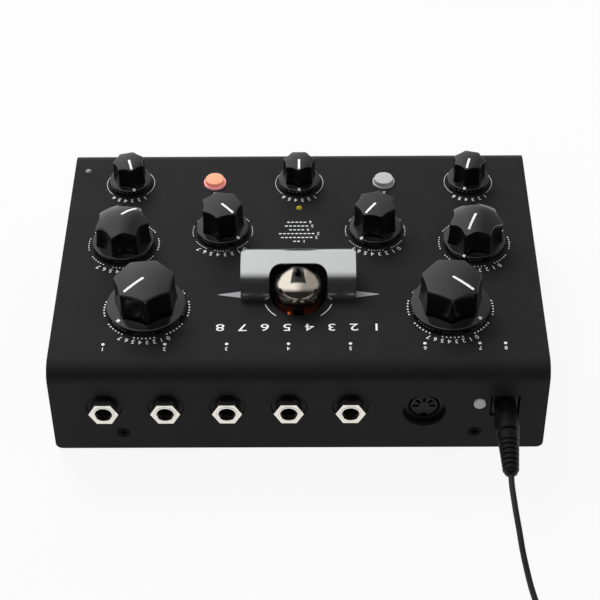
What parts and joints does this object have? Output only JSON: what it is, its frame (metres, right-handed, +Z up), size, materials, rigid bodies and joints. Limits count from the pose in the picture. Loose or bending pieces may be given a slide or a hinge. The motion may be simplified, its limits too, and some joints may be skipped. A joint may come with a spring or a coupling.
{
  "type": "valve delay unit",
  "caption": "Desktop audio delay unit: bent steel case with fluted knobs and push buttons, a valve under an arched guard, rear jack sockets and a coiled power lead with its adapter.",
  "frame": {"origin": "floor under the middle of the case, with its feet and rear bushes", "axes": "+Z up, +Y out of the rear face with the sockets, +X to the left seen from the rear sockets' side"},
  "size_m": [0.217, 0.313, 0.0704],
  "materials": {
    "cover": "satin black powder coat",
    "tray": "satin black powder coat",
    "black_screw": "black",
    "foot_rubber": "matte",
    "board": "solder mask",
    "standoff": "plain",
    "steel": "zinc plated",
    "chip": "moulded",
    "capacitor": "sleeved",
    "header": "moulded",
    "ribbon": "plain",
    "pot_metal": "plain",
    "nickel": "nickel plated",
    "knob": "gloss",
    "shaft_metal": "plain",
    "lit_button": "lit",
    "lit_collar": "lit",
    "grey_button": "satin",
    "yellow_lamp": "lit",
    "pale_lamp": "diffused",
    "valve_glass": "clear",
    "electrode": "dark",
    "ceramic": "ceramic",
    "guard_metal": "satin",
    "socket_plastic": "moulded",
    "plug_rubber": "moulded",
    "cord": "smooth",
    "tie": "plain",
    "adapter": "fine texture"
  },
  "bodies": {
    "case": {"top_cover": "cover", "base_tray": "tray", "cover_screws": "black_screw", "rubber_feet": "foot_rubber", "main_board": "board", "panel_board": "board", "valve_board": "board", "board_standoffs": "standoff", "board_screws": "steel", "board_chips": "chip", "board_capacitors": "capacitor", "link_headers": "header", "link_ribbon": "ribbon", "potentiometers": "pot_metal", "panel_nuts": "nickel", "bypass_collar": "lit_collar", "tap_collar": "grey_button", "push_switches": "chip", "level_lamp": "yellow_lamp", "power_lamp": "pale_lamp", "valve_glass": "valve_glass", "valve_electrodes": "electrode", "valve_pins": "nickel", "valve_socket": "ceramic", "valve_guard": "guard_metal", "jack_bodies": "socket_plastic", "jack_bushes": "nickel", "jack_collars": "socket_plastic", "jack_nuts": "nickel", "din_socket": "socket_plastic", "dc_socket": "socket_plastic", "plug_barrel": "nickel", "dc_plug": "plug_rubber", "plug_boot": "plug_rubber", "cord_lead": "cord", "cord_coil": "cord", "cord_tie": "tie", "adapter_body": "adapter", "adapter_pins": "nickel"},
    "cutoff": {"cutoff_knob": "knob", "cutoff_shaft": "shaft_metal"},
    "delay_time": {"delay_time_knob": "knob", "delay_time_shaft": "shaft_metal"},
    "drive": {"drive_knob": "knob", "drive_shaft": "shaft_metal"},
    "feedback": {"feedback_knob": "knob", "feedback_shaft": "shaft_metal"},
    "filter_mode": {"filter_mode_knob": "knob", "filter_mode_shaft": "shaft_metal"},
    "delay_mode": {"delay_mode_knob": "knob", "delay_mode_shaft": "shaft_metal"},
    "input_level": {"input_level_knob": "knob", "input_level_shaft": "shaft_metal"},
    "resonance": {"resonance_knob": "knob", "resonance_shaft": "shaft_metal"},
    "mix": {"mix_knob": "knob", "mix_shaft": "shaft_metal"},
    "bypass": {"bypass_button": "lit_button"},
    "tap": {"tap_button": "grey_button"},
    "option": {"option_button": "grey_button"}
  },
  "joints": [
    {"name": "cutoff_turn", "type": "hinge", "parent": "case", "child": "cutoff", "pos_m": [0.0673, 0.0348, 0.0625], "axis": [0, 0, 1], "range_deg": [-104, 196]},
    {"name": "delay_time_turn", "type": "hinge", "parent": "case", "child": "delay_time", "pos_m": [-0.0673, 0.0348, 0.0625], "axis": [0, 0, 1], "range_deg": [-200, 100]},
    {"name": "drive_turn", "type": "hinge", "parent": "case", "child": "drive", "pos_m": [0.0807, -0.0084, 0.0625], "axis": [0, 0, 1], "range_deg": [-287, 13]},
    {"name": "feedback_turn", "type": "hinge", "parent": "case", "child": "feedback", "pos_m": [-0.0807, -0.0084, 0.0625], "axis": [0, 0, 1], "range_deg": [-126, 174]},
    {"name": "filter_mode_turn", "type": "hinge", "parent": "case", "child": "filter_mode", "pos_m": [0.0807, -0.0524, 0.0625], "axis": [0, 0, 1], "range_deg": [-90, 60]},
    {"name": "delay_mode_turn", "type": "hinge", "parent": "case", "child": "delay_mode", "pos_m": [-0.0807, -0.0524, 0.0625], "axis": [0, 0, 1], "range_deg": [-60, 90]},
    {"name": "input_level_turn", "type": "hinge", "parent": "case", "child": "input_level", "pos_m": [0, -0.0524, 0.0625], "axis": [0, 0, 1], "range_deg": [-150, 150]},
    {"name": "resonance_turn", "type": "hinge", "parent": "case", "child": "resonance", "pos_m": [0.0354, -0.0173, 0.0625], "axis": [0, 0, 1], "range_deg": [-192, 108]},
    {"name": "mix_turn", "type": "hinge", "parent": "case", "child": "mix", "pos_m": [-0.0354, -0.0173, 0.0625], "axis": [0, 0, 1], "range_deg": [-114, 186]},
    {"name": "bypass_press", "type": "slide", "parent": "case", "child": "bypass", "axis": [0, 0, -1], "range_m": [0, 0.001], "stiffness_N_per_m": 1500, "springref_m": -0.0003},
    {"name": "tap_press", "type": "slide", "parent": "case", "child": "tap", "axis": [0, 0, -1], "range_m": [0, 0.001], "stiffness_N_per_m": 1500, "springref_m": -0.0003},
    {"name": "option_press", "type": "slide", "parent": "case", "child": "option", "axis": [0, -1, 0], "range_m": [0, 0.0006], "stiffness_N_per_m": 1500, "springref_m": -0.0003}
  ]
}
